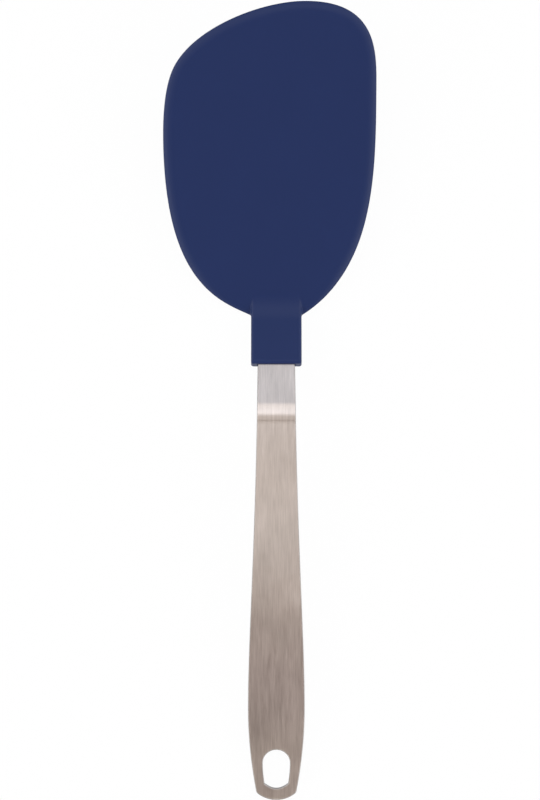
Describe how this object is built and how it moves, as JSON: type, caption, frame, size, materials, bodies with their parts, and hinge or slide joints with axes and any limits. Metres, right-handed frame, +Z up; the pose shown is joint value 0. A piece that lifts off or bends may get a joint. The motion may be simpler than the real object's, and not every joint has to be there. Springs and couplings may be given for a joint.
{
  "type": "flexible turner",
  "caption": "Flexible kitchen turner: wide silicone blade over a spring steel leaf, on a cranked brushed steel strip handle with a hanging slot.",
  "frame": {"origin": "on the worktop, under the middle of the bounding box of the turner at rest on its heel and handle end", "axes": "+Y from the handle end towards the blade's tip, +Z up from the worktop, +X to the right seen from above with the tip ahead"},
  "size_m": [0.088, 0.3306, 0.0354],
  "materials": {
    "brushed_steel": "brushed lengthwise, satin",
    "spring_steel": "rolled, plain",
    "silicone": "navy, satin"
  },
  "bodies": {
    "handle": {"handle": "brushed_steel", "socket": "silicone", "rivet_front": "spring_steel", "rivet_rear": "spring_steel"},
    "blade": {"blade": "silicone", "blade_core": "spring_steel"}
  },
  "joints": [
    {"name": "blade_flex", "type": "hinge", "parent": "handle", "child": "blade", "pos_m": [0.0028, 0.04429, 0.00341], "axis": [1, 0, 0], "range_deg": [-40, 40], "stiffness_Nm_per_rad": 1.2, "deforming": ["blade_core"]}
  ]
}
